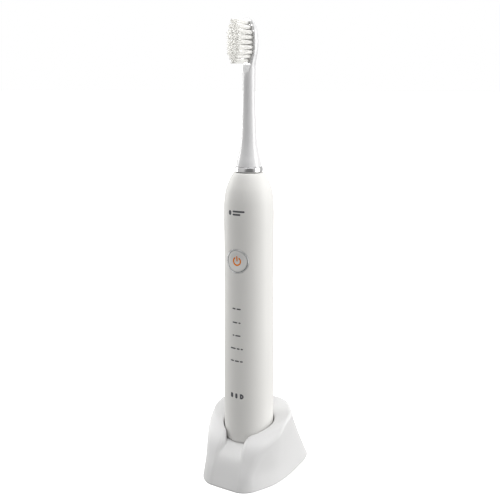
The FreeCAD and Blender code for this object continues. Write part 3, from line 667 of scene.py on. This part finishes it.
# ================================================================ brush head
NECK = [(7.15, 161.22), (6.55, 164.5), (5.85, 167.2), (5.3, 170), (4.82, 172.7), (4.5, 175.5), (4.2, 179.5), (4.02, 184), (3.78, 190.5), (3.58, 197), (3.47, 203), (3.46, 208), (3.5, 213), (3.3, 216.5), (2.7, 219.5)]
neck_r = Spline([p[1] for p in NECK], [p[0] for p in NECK])
PLATE_LOW, PLATE_HIGH, PLATE_Y = 215.6, 240.4, -1.6
ZC, HZ, HW = (PLATE_LOW + PLATE_HIGH) / 2, (PLATE_HIGH - PLATE_LOW) / 2, 6.0
ROWS_S = [218.1, 220.3, 222.4, 224.8, 227.3, 229.8, 232.3, 234.9, 237.3]
tufts = []
for s in ROWS_S:
    hz = HZ - 0.6
    hf = 5.3 * math.sqrt(max(0.0, 1 - ((s - ZC) / hz) ** 2))
    nt = max(1, int((2 * (hf - 1.0)) / 2.35) + 1)
    span = min(2 * (hf - 1.05), 2.5 * (nt - 1))
    for j in range(nt):
        x = 0.0 if nt == 1 else -span / 2 + j * span / (nt - 1)
        tufts.append((x, s, 10.8 - 0.9 * ((s - ZC) / hz) ** 2 - 0.6 * (x / 5.0) ** 2))
tx, ts = np.array([t[0] for t in tufts]), np.array([t[1] for t in tufts])


def head_field(x, y, z):
    rho = np.hypot(x, y)
    R = neck_r(z)
    sl = neck_r.slope(np.clip(z, 161.22, 219.5))
    neck = (rho - R) / np.sqrt(1 + sl * sl)
    neck = rmax(neck, z - 221.5, 1.5)
    neck = rmax(neck, 161.22 - z, 0.25)
    pw = 2.17
    a, b = np.abs(x) / HW + 1e-6, np.abs(z - ZC) / HZ + 1e-6
    S = a ** pw + b ** pw
    e = S ** (1 / pw)
    k = S ** (1 / pw - 1)
    g = np.sqrt((k * a ** (pw - 1) / HW) ** 2 + (k * b ** (pw - 1) / HZ) ** 2) + 1e-6
    oval = np.maximum((e - 1) / g, -6.0)
    back = y - (2.8 - 0.010 * np.maximum(z - 228.0, 0) ** 2)
    plate = rmax(oval, back, 2.7)
    plate = rmax(plate, PLATE_Y - y, 0.45)
    f = rmin(neck, plate, 2.4)
    t = np.clip((z - 210.5) / 6.5, 0, 1)
    cut = PLATE_Y - 2.6 * (1 - t) ** 2 - 60 * (z < 210.5)
    f = rmax(f, cut - y, 0.4)
    # round sockets of the tufts
    near = (z > 216) & (y < 0)
    if np.any(near):
        shp = f.shape
        ff = f.copy().ravel()
        m = near.ravel()
        xx, yy, zz = x.ravel()[m], y.ravel()[m], z.ravel()[m]
        hole = np.full(len(xx), 1e3)
        for cx, cs in zip(tx, ts):
            hole = np.minimum(hole, np.hypot(xx - cx, zz - cs) - 0.98)
        hole = np.maximum(hole, yy - (PLATE_Y + 0.8))
        ff[m] = rmax(ff[m], -hole, 0.18)
        f = ff.reshape(shp)
    # the flange inside the collar, and the bore for the shaft and its clip
    flange = np.maximum(rho - 6.15, np.maximum(158.8 - z, z - 161.5))
    f = np.minimum(f, flange)
    return np.maximum(f, -np.maximum(rho - 2.92, z - 184.0))


P, Q = field_mesh(head_field, (-7.8, -7.8, 158.2), (7.8, 7.8, 241.2), 0.3)
head = to_object("brush_head_moulding", turn_head(P), Q, "brush_head", ["brush_head_body"], sharp=45)


# ---------------------------------------------------------------- filaments
SIDES = 5
RINGS = np.array([0.0, 0.3, 0.6, 0.85, 0.965, 0.992])
THICK = np.array([1.0, 1.05, 1.18, 1.28, 1.12, 0.65])
FIL_R = 0.094
PER = 50
fv, ffaces = [], []
ga = math.pi * (3 - math.sqrt(5))
side = 2 * math.pi * np.arange(SIDES) / SIDES
for tx_, ts_, ln in tufts:
    lean_x = 0.030 * tx_ / 5.0
    lean_s = 0.075 * (ts_ - ZC) / 12.0
    spin = rng.uniform(0, 6.28)
    for i in range(PER):
        rr = 0.80 * math.sqrt((i + 0.5) / PER)
        a = spin + i * ga
        px, ps = rr * math.cos(a), rr * math.sin(a)
        dx = lean_x + 0.047 * px + rng.normal(0, 0.013)
        ds = lean_s + 0.047 * ps + rng.normal(0, 0.013)
        bend = rng.normal(0, 0.10, 2)
        L = ln + 0.75 - 0.35 * rr * rr + rng.normal(0, 0.10)
        y0 = PLATE_Y + 0.75
        base_i = len(fv)
        ph = rng.uniform(0, 6.28)
        for t, w in zip(RINGS, THICK):
            cx = tx_ + px + dx * L * t + bend[0] * t * t
            cs = ts_ + ps + ds * L * t + bend[1] * t * t
            y = y0 - L * t
            for q in side:
                fv.append((cx + FIL_R * w * math.cos(q + ph), y, cs + FIL_R * w * math.sin(q + ph)))
        fv.append((tx_ + px + dx * L + bend[0], y0 - L, ts_ + ps + ds * L + bend[1]))
        for m in range(len(RINGS) - 1):
            for q in range(SIDES):
                a0, a1 = base_i + m * SIDES + q, base_i + m * SIDES + (q + 1) % SIDES
                ffaces.append((a0, a1, a1 + SIDES, a0 + SIDES))
        top = base_i + (len(RINGS) - 1) * SIDES
        for q in range(SIDES):
            ffaces.append((top + q, top + (q + 1) % SIDES, len(fv) - 1))
        ffaces.append(tuple(base_i + q for q in range(SIDES))[::-1])
fvn = np.array(fv)
bristles = to_object("bristle_filaments", turn_head(fvn), ffaces, "brush_head", ["bristle_tufts"])


# ================================================================ materials
def new_mat(name):
    m = bpy.data.materials.new(name)
    m.use_nodes = True
    nt = m.node_tree
    nt.nodes.clear()
    out = nt.nodes.new("ShaderNodeOutputMaterial")
    b = nt.nodes.new("ShaderNodeBsdfPrincipled")
    nt.links.new(b.outputs[0], out.inputs["Surface"])
    co = nt.nodes.new("ShaderNodeTexCoord")
    return m, nt, b, co.outputs["Object"]


def ramp(nt, fac, stops):
    r = nt.nodes.new("ShaderNodeValToRGB")
    cr = r.color_ramp
    while len(cr.elements) < len(stops):
        cr.elements.new(0.5)
    for el, (p, c) in zip(cr.elements, stops):
        el.position = p
        el.color = (*c, 1.0) if len(c) == 3 else c
    nt.links.new(fac, r.inputs[0])
    return r.outputs[0]


def noise(nt, vec, scale, detail=3.0, rough=0.5, stretch=None):
    if stretch:
        mp = nt.nodes.new("ShaderNodeMapping")
        mp.inputs["Scale"].default_value = stretch
        nt.links.new(vec, mp.inputs["Vector"])
        vec = mp.outputs[0]
    n = nt.nodes.new("ShaderNodeTexNoise")
    n.inputs["Scale"].default_value = scale
    n.inputs["Detail"].default_value = detail
    n.inputs["Roughness"].default_value = rough
    nt.links.new(vec, n.inputs["Vector"])
    return n.outputs["Fac"]


def remap(nt, v, lo, hi, a=0.3, b=0.7):
    m = nt.nodes.new("ShaderNodeMapRange")
    m.inputs["From Min"].default_value = a
    m.inputs["From Max"].default_value = b
    m.inputs["To Min"].default_value = lo
    m.inputs["To Max"].default_value = hi
    nt.links.new(v, m.inputs["Value"])
    return m.outputs[0]


def bump(nt, b, heights):
    """heights is a list of (height socket, strength, distance in metres)."""
    prev = None
    for h, strength, dist in heights:
        k = nt.nodes.new("ShaderNodeBump")
        k.inputs["Strength"].default_value = strength
        k.inputs["Distance"].default_value = dist
        nt.links.new(h, k.inputs["Height"])
        if prev is not None:
            nt.links.new(prev, k.inputs["Normal"])
        prev = k.outputs[0]
    nt.links.new(prev, b.inputs["Normal"])


def shade(c, k):
    return tuple(min(1.0, max(0.0, v * k)) for v in c)


def plastic(name, col, rough=0.4, var=0.02, grain=3200.0, grain_depth=4e-6, coat=0.0, sub=0.0, spec=0.5, coat_rough=0.2):
    """Moulded plastic: a fine spark-eroded grain, faint flow clouds and slight gloss changes."""
    m, nt, b, co = new_mat(name)
    cloud = noise(nt, co, 60.0, 4.0)
    nt.links.new(ramp(nt, cloud, [(0.25, shade(col, 1 - var)), (0.55, col), (0.8, shade(col, 1 + var * 0.6))]), b.inputs["Base Color"])
    fine = noise(nt, co, grain, 2.0, 0.6)
    nt.links.new(remap(nt, noise(nt, co, 240.0, 3.0), rough - 0.035, rough + 0.035), b.inputs["Roughness"])
    bump(nt, b, [(noise(nt, co, 110.0, 2.0), 0.10, 2.5e-5), (fine, 0.35, grain_depth)])
    b.inputs["Specular IOR Level"].default_value = spec
    b.inputs["Coat Weight"].default_value = coat
    b.inputs["Coat Roughness"].default_value = coat_rough
    if sub:
        b.inputs["Subsurface Weight"].default_value = sub
        b.inputs["Subsurface Radius"].default_value = (1.0, 0.9, 0.8)
        b.inputs["Subsurface Scale"].default_value = 0.0012
    return m


def metal(name, col, rough, stretch=(1, 1, 60), grain=700.0, depth=3e-6, var=0.06):
    """Metal with a drawn or turned grain."""
    m, nt, b, co = new_mat(name)
    b.inputs["Metallic"].default_value = 1.0
    g = noise(nt, co, grain, 4.0, 0.6, stretch)
    nt.links.new(ramp(nt, noise(nt, co, 300.0, 3.0), [(0.3, shade(col, 1 - var)), (0.7, shade(col, 1 + var))]), b.inputs["Base Color"])
    nt.links.new(remap(nt, g, max(0.02, rough - 0.04), rough + 0.06), b.inputs["Roughness"])
    bump(nt, b, [(g, 0.4, depth)])
    return m


def winding(name, col, pitch_mm=0.3, rough=0.32):
    """Wound wire: round turns side by side with a little unevenness, painted shade in the grooves between turns and a
    painted highlight on each crest.
    """
    m, nt, b, co = new_mat(name)
    b.inputs["Metallic"].default_value = 0.85
    w = nt.nodes.new("ShaderNodeTexWave")
    w.wave_type, w.bands_direction, w.wave_profile = "BANDS", "Z", "SIN"
    w.inputs["Scale"].default_value = 2 * math.pi / (20 * pitch_mm * MM)
    w.inputs["Distortion"].default_value = 0.6
    w.inputs["Detail"].default_value = 2.0
    nt.links.new(co, w.inputs["Vector"])
    # painted shade in the grooves between turns, painted highlight on the crests
    nt.links.new(ramp(nt, w.outputs["Fac"], [(0.0, shade(col, 0.35)), (0.35, shade(col, 0.9)), (0.8, shade(col, 1.15))]), b.inputs["Base Color"])
    nt.links.new(remap(nt, noise(nt, co, 900.0), rough - 0.05, rough + 0.1), b.inputs["Roughness"])
    bump(nt, b, [(w.outputs["Fac"], 0.9, 8e-5)])
    return m


def board(name):
    """Solder mask with a faint pattern of tracks and plated dots under it."""
    m, nt, b, co = new_mat(name)
    br = nt.nodes.new("ShaderNodeTexBrick")
    br.inputs["Scale"].default_value = 260.0
    br.inputs["Color1"].default_value = (0.030, 0.20, 0.10, 1)
    br.inputs["Color2"].default_value = (0.040, 0.26, 0.13, 1)
    br.inputs["Mortar"].default_value = (0.075, 0.36, 0.19, 1)
    br.inputs["Mortar Size"].default_value = 0.03
    mp = nt.nodes.new("ShaderNodeMapping")
    mp.inputs["Rotation"].default_value = (math.pi / 2, 0, 0.4)
    nt.links.new(co, mp.inputs["Vector"])
    nt.links.new(mp.outputs[0], br.inputs["Vector"])
    vo = nt.nodes.new("ShaderNodeTexVoronoi")
    vo.inputs["Scale"].default_value = 420.0
    nt.links.new(co, vo.inputs["Vector"])
    dots = ramp(nt, vo.outputs["Distance"], [(0.10, (1, 1, 1)), (0.13, (0, 0, 0))])
    mx = nt.nodes.new("ShaderNodeMix")
    mx.data_type = "RGBA"
    nt.links.new(dots, mx.inputs["Factor"])
    nt.links.new(br.outputs["Color"], mx.inputs[6])
    mx.inputs[7].default_value = (0.55, 0.50, 0.36, 1)
    nt.links.new(mx.outputs[2], b.inputs["Base Color"])
    nt.links.new(remap(nt, noise(nt, co, 800.0), 0.25, 0.4), b.inputs["Roughness"])
    bump(nt, b, [(br.outputs["Fac"], 0.5, 2e-5), (noise(nt, co, 2500.0), 0.2, 4e-6)])
    return m


def rubber(name, col, rough=0.75):
    m, nt, b, co = new_mat(name)
    n = noise(nt, co, 1800.0, 4.0, 0.65)
    nt.links.new(ramp(nt, n, [(0.3, shade(col, 0.85)), (0.7, shade(col, 1.15))]), b.inputs["Base Color"])
    nt.links.new(remap(nt, n, rough - 0.08, rough + 0.08), b.inputs["Roughness"])
    bump(nt, b, [(n, 0.5, 1.2e-5)])
    b.inputs["Specular IOR Level"].default_value = 0.3
    return m


def sintered(name, col, rough=0.6):
    m, nt, b, co = new_mat(name)
    vo = nt.nodes.new("ShaderNodeTexVoronoi")
    vo.inputs["Scale"].default_value = 2600.0
    nt.links.new(co, vo.inputs["Vector"])
    nt.links.new(ramp(nt, vo.outputs["Distance"], [(0.1, shade(col, 1.5)), (0.6, col)]), b.inputs["Base Color"])
    nt.links.new(remap(nt, noise(nt, co, 600.0), rough - 0.1, rough + 0.1), b.inputs["Roughness"])
    bump(nt, b, [(vo.outputs["Distance"], 0.4, 1e-5)])
    return m


def sleeve(name, col):
    """Shrink sleeve: glossy film with faint draw lines."""
    m, nt, b, co = new_mat(name)
    g = noise(nt, co, 160.0, 3.0, 0.5, (1, 1, 6))
    nt.links.new(ramp(nt, g, [(0.3, shade(col, 0.85)), (0.7, shade(col, 1.15))]), b.inputs["Base Color"])
    nt.links.new(remap(nt, g, 0.18, 0.3), b.inputs["Roughness"])
    bump(nt, b, [(g, 0.25, 3e-5)])
    b.inputs["Coat Weight"].default_value = 0.4
    return m


def clear_plastic(name):
    m, nt, b, co = new_mat(name)
    nt.links.new(ramp(nt, noise(nt, co, 200.0), [(0.3, (0.90, 0.93, 0.94)), (0.7, (0.96, 0.98, 0.98))]), b.inputs["Base Color"])
    nt.links.new(remap(nt, noise(nt, co, 900.0), 0.05, 0.14), b.inputs["Roughness"])
    bump(nt, b, [(noise(nt, co, 700.0), 0.2, 1e-5)])
    b.inputs["Transmission Weight"].default_value = 0.8
    b.inputs["IOR"].default_value = 1.49
    return m


def filament(name):
    """Nylon filament: random tone streaks along each filament, with a faint painted glow (emission) standing in for
    light scattered through the nylon.
    """
    m, nt, b, co = new_mat(name)
    n = noise(nt, co, 1500.0, 2.0, 0.5, (1, 0.05, 1))
    nt.links.new(ramp(nt, n, [(0.25, (0.93, 0.925, 0.90)), (0.5, (0.965, 0.96, 0.94)), (0.75, (0.985, 0.983, 0.97))]), b.inputs["Base Color"])
    nt.links.new(remap(nt, n, 0.28, 0.42), b.inputs["Roughness"])
    bump(nt, b, [(noise(nt, co, 5000.0), 0.2, 2e-6)])
    # painted glow: a small emission stands in for light scattered through the filaments
    b.inputs["Emission Color"].default_value = (1.0, 0.985, 0.94, 1.0)
    b.inputs["Emission Strength"].default_value = 0.07
    b.inputs["Sheen Weight"].default_value = 0.4
    b.inputs["Sheen Roughness"].default_value = 0.6
    return m


def print_ink(name, col):
    m, nt, b, co = new_mat(name)
    n = noise(nt, co, 5200.0, 3.0, 0.6)
    nt.links.new(ramp(nt, n, [(0.3, shade(col, 0.85)), (0.75, shade(col, 1.25))]), b.inputs["Base Color"])
    nt.links.new(remap(nt, n, 0.42, 0.58), b.inputs["Roughness"])
    bump(nt, b, [(n, 0.3, 3e-6)])
    return m


MATS = {
    "white_satin": plastic("satin_white_moulding", (0.805, 0.80, 0.78), 0.48, 0.012, grain_depth=3e-6),
    "base_white": plastic("base_white_moulding", (0.73, 0.73, 0.732), 0.42, 0.012, grain_depth=3e-6),
    "head_white": plastic("head_white_gloss", (0.79, 0.79, 0.80), 0.22, 0.010, grain=4200, grain_depth=1.2e-6, coat=0.35, coat_rough=0.08),
    "bristle": filament("nylon_filament"),
    "chrome": metal("bright_chrome", (0.86, 0.86, 0.87), 0.07, (1, 1, 1), 500.0, 1.0e-6, 0.02),
    "silver": metal("satin_silver", (0.80, 0.81, 0.82), 0.28, (1, 1, 1), 2500.0, 2e-6, 0.03),
    "button_grey": plastic("button_satin", (0.79, 0.79, 0.775), 0.45, 0.02, grain=5200, grain_depth=4e-6),
    "icon_orange": plastic("orange_inlay", (0.86, 0.235, 0.001), 0.60, 0.06, grain=4000, grain_depth=2e-6, spec=0.2),
    "rubber_grey": rubber("grey_rubber", (0.16, 0.165, 0.17)),
    "seal_white": rubber("white_silicone", (0.72, 0.72, 0.70), 0.5),
    "steel": metal("turned_steel", (0.56, 0.57, 0.58), 0.28),
    "nickel": metal("nickel_strip", (0.62, 0.60, 0.56), 0.25, (1, 1, 20)),
    "copper": winding("enamelled_copper", (0.66, 0.30, 0.14)),
    "ferrite": sintered("sintered_ferrite", (0.045, 0.045, 0.05)),
    "frame_grey": plastic("frame_moulding", (0.52, 0.54, 0.55), 0.5, 0.03, grain=2600, grain_depth=6e-6),
    "bobbin": plastic("natural_nylon", (0.74, 0.71, 0.62), 0.45, 0.03, sub=0.2),
    "board_green": board("solder_mask"),
    "component_black": plastic("component_package", (0.030, 0.030, 0.034), 0.5, 0.15, grain=3600, grain_depth=5e-6),
    "battery_blue": sleeve("shrink_sleeve", (0.08, 0.18, 0.42)),
    "lamp": plastic("diffused_lens", (0.88, 0.85, 0.74), 0.3, 0.02, sub=0.4),
    "clear": clear_plastic("light_guide_clear"),
    "brass": metal("stamped_brass", (0.72, 0.52, 0.22), 0.25, (20, 1, 1)),
    "magnet": metal("plated_magnet", (0.42, 0.43, 0.45), 0.3, (1, 1, 30)),
    "ink": print_ink("dark_grey_print", (0.085, 0.088, 0.10)),
}
slot_of = {p["node"]: p.get("material_slot") for p in frame["record"].get("subparts", [])}
for nm, ob in NODES.items():
    mat = MATS[slot_of.get(nm) or "frame_grey"]
    ob.data.materials.clear()
    ob.data.materials.append(mat)
for ob, key in ((base, "base_white"), (handle, "white_satin"), (bezel, "silver"), (button, "button_grey"), (membrane, "seal_white"), (symbol, "icon_orange"), (modes, "ink"), (charge, "ink"), (badge, "ink"),
                (collar, "chrome"), (head, "head_white"), (bristles, "bristle")):
    ob.data.materials.clear()
    ob.data.materials.append(MATS[key])

# ================================================================ floor, light, camera
WORLD_LOW, WORLD_HIGH = 0.45, 0.70
DARK_PSI, DARK_ELEV, DARK_WIDE, DARK_CORE, DARK_LEVEL = 3.0, -10.0, 50.0, 18.0, 0.32
P_RIGHT, P_LEFT, P_TOP = 8.4, 5.0, 1.35
P_TUFT = 30.0
bpy.ops.mesh.primitive_plane_add(size=60.0, location=(0, 0, 0))
floor = bpy.context.object
floor.name = "studio_floor"
fm, nt, b, co = new_mat("studio_white")
nt.links.new(ramp(nt, noise(nt, co, 3.0), [(0.3, (0.93, 0.93, 0.93)), (0.7, (0.95, 0.95, 0.95))]), b.inputs["Base Color"])
b.inputs["Roughness"].default_value = 0.9
b.inputs["Specular IOR Level"].default_value = 0.0
b.inputs["Emission Color"].default_value = (1.0, 1.0, 1.0, 1.0)
b.inputs["Emission Strength"].default_value = 0.6
floor.data.materials.append(fm)
floor.visible_diffuse = False
floor.visible_glossy = False

CAM_DIR = np.array([0.5, -0.8660254])
CAM_RIGHT = np.array([0.8660254, 0.5])


def studio_dir(psi, elev):
    p, e = math.radians(psi), math.radians(elev)
    d = CAM_DIR * math.cos(p) + CAM_RIGHT * math.sin(p)
    return Vector((d[0] * math.cos(e), d[1] * math.cos(e), math.sin(e)))


# the room's light: an even tent, with a darker opening on the camera's side
world = bpy.data.worlds.new("studio")
bpy.context.scene.world = world
world.use_nodes = True
nt = world.node_tree
nt.nodes.clear()
wo = nt.nodes.new("ShaderNodeOutputWorld")
bg_seen = nt.nodes.new("ShaderNodeBackground")
bg_seen.inputs[0].default_value = (1, 1, 1, 1)
bg_seen.inputs[1].default_value = 1.0
bg_lit = nt.nodes.new("ShaderNodeBackground")
bg_lit.inputs[0].default_value = (1.0, 0.995, 0.985, 1)
wc = nt.nodes.new("ShaderNodeTexCoord")
dot = nt.nodes.new("ShaderNodeVectorMath")
dot.operation = "DOT_PRODUCT"
dot.inputs[1].default_value = studio_dir(DARK_PSI, DARK_ELEV)
nt.links.new(wc.outputs["Generated"], dot.inputs[0])
dark = nt.nodes.new("ShaderNodeMapRange")
dark.interpolation_type = "SMOOTHSTEP"
dark.inputs["From Min"].default_value = math.cos(math.radians(DARK_WIDE))
dark.inputs["From Max"].default_value = math.cos(math.radians(DARK_CORE))
dark.inputs["To Min"].default_value = 1.0
dark.inputs["To Max"].default_value = DARK_LEVEL
nt.links.new(dot.outputs["Value"], dark.inputs["Value"])
sep = nt.nodes.new("ShaderNodeSeparateXYZ")
nt.links.new(wc.outputs["Generated"], sep.inputs[0])
elev = nt.nodes.new("ShaderNodeMapRange")
elev.inputs["From Min"].default_value = -1.0
elev.inputs["From Max"].default_value = 1.0
elev.inputs["To Min"].default_value = WORLD_LOW
elev.inputs["To Max"].default_value = WORLD_HIGH
nt.links.new(sep.outputs["Z"], elev.inputs["Value"])
mul = nt.nodes.new("ShaderNodeMath")
mul.operation = "MULTIPLY"
nt.links.new(dark.outputs[0], mul.inputs[0])
nt.links.new(elev.outputs[0], mul.inputs[1])
nt.links.new(mul.outputs[0], bg_lit.inputs[1])
lp = nt.nodes.new("ShaderNodeLightPath")
mix = nt.nodes.new("ShaderNodeMixShader")
nt.links.new(lp.outputs["Is Camera Ray"], mix.inputs[0])
nt.links.new(bg_lit.outputs[0], mix.inputs[1])
nt.links.new(bg_seen.outputs[0], mix.inputs[2])
nt.links.new(mix.outputs[0], wo.inputs[0])


def area(name, psi, elev, dist, w, h, power, col=(1, 1, 1), aim=(0.0, -0.0045, 0.13)):
    """A softbox at an angle psi to the right of the camera's side of the object."""
    loc = Vector(aim) + studio_dir(psi, elev) * dist
    li = bpy.data.lights.new(name, "AREA")
    li.shape, li.size, li.size_y, li.energy, li.color = "RECTANGLE", w, h, power, col
    ob = bpy.data.objects.new(name, li)
    ob.location = loc
    ob.rotation_mode = "QUATERNION"
    ob.rotation_quaternion = (Vector(aim) - loc).to_track_quat("-Z", "Y")
    bpy.context.scene.collection.objects.link(ob)
    return ob


area("softbox_right", 79, 3, 0.95, 0.62, 0.95, P_RIGHT, (1.0, 0.995, 0.985))
area("softbox_left", -125, 8, 0.95, 0.45, 0.95, P_LEFT, (1.0, 1.0, 0.99))
sun = bpy.data.lights.new("overhead", "SUN")
sun.energy, sun.angle = P_TOP, math.radians(50)
so = bpy.data.objects.new("overhead", sun)
so.location = (0.1, -0.1, 1.5)
so.rotation_euler = (math.radians(4), math.radians(6), 0)
bpy.context.scene.collection.objects.link(so)

snoot = bpy.data.lights.new("snoot_tufts", "SPOT")
snoot.energy, snoot.spot_size, snoot.spot_blend, snoot.shadow_soft_size = P_TUFT, math.radians(2.9), 1.0, 0.008
sn = bpy.data.objects.new("snoot_tufts", snoot)
sn_aim = Vector((-0.0030, -0.0150, 0.2525))
sn.location = sn_aim + studio_dir(-93, 4) * 0.8
sn.rotation_mode = "QUATERNION"
sn.rotation_quaternion = (sn_aim - sn.location).to_track_quat("-Z", "Y")
bpy.context.scene.collection.objects.link(sn)

cam = bpy.data.cameras.new("camera")
cam.sensor_width = 36.0
cam.lens = 51.80
cam.shift_x = 0.002
cam.clip_start, cam.clip_end = 0.01, 50
co_ = bpy.data.objects.new("camera", cam)
co_.location = (0.2002, -0.3512, 0.2265)
co_.rotation_mode = "QUATERNION"
co_.rotation_quaternion = Vector((-0.4876, 0.8446, -0.2210)).to_track_quat("-Z", "Y")
bpy.context.scene.collection.objects.link(co_)
bpy.context.scene.camera = co_
bpy.context.scene.view_settings.view_transform = "Standard"
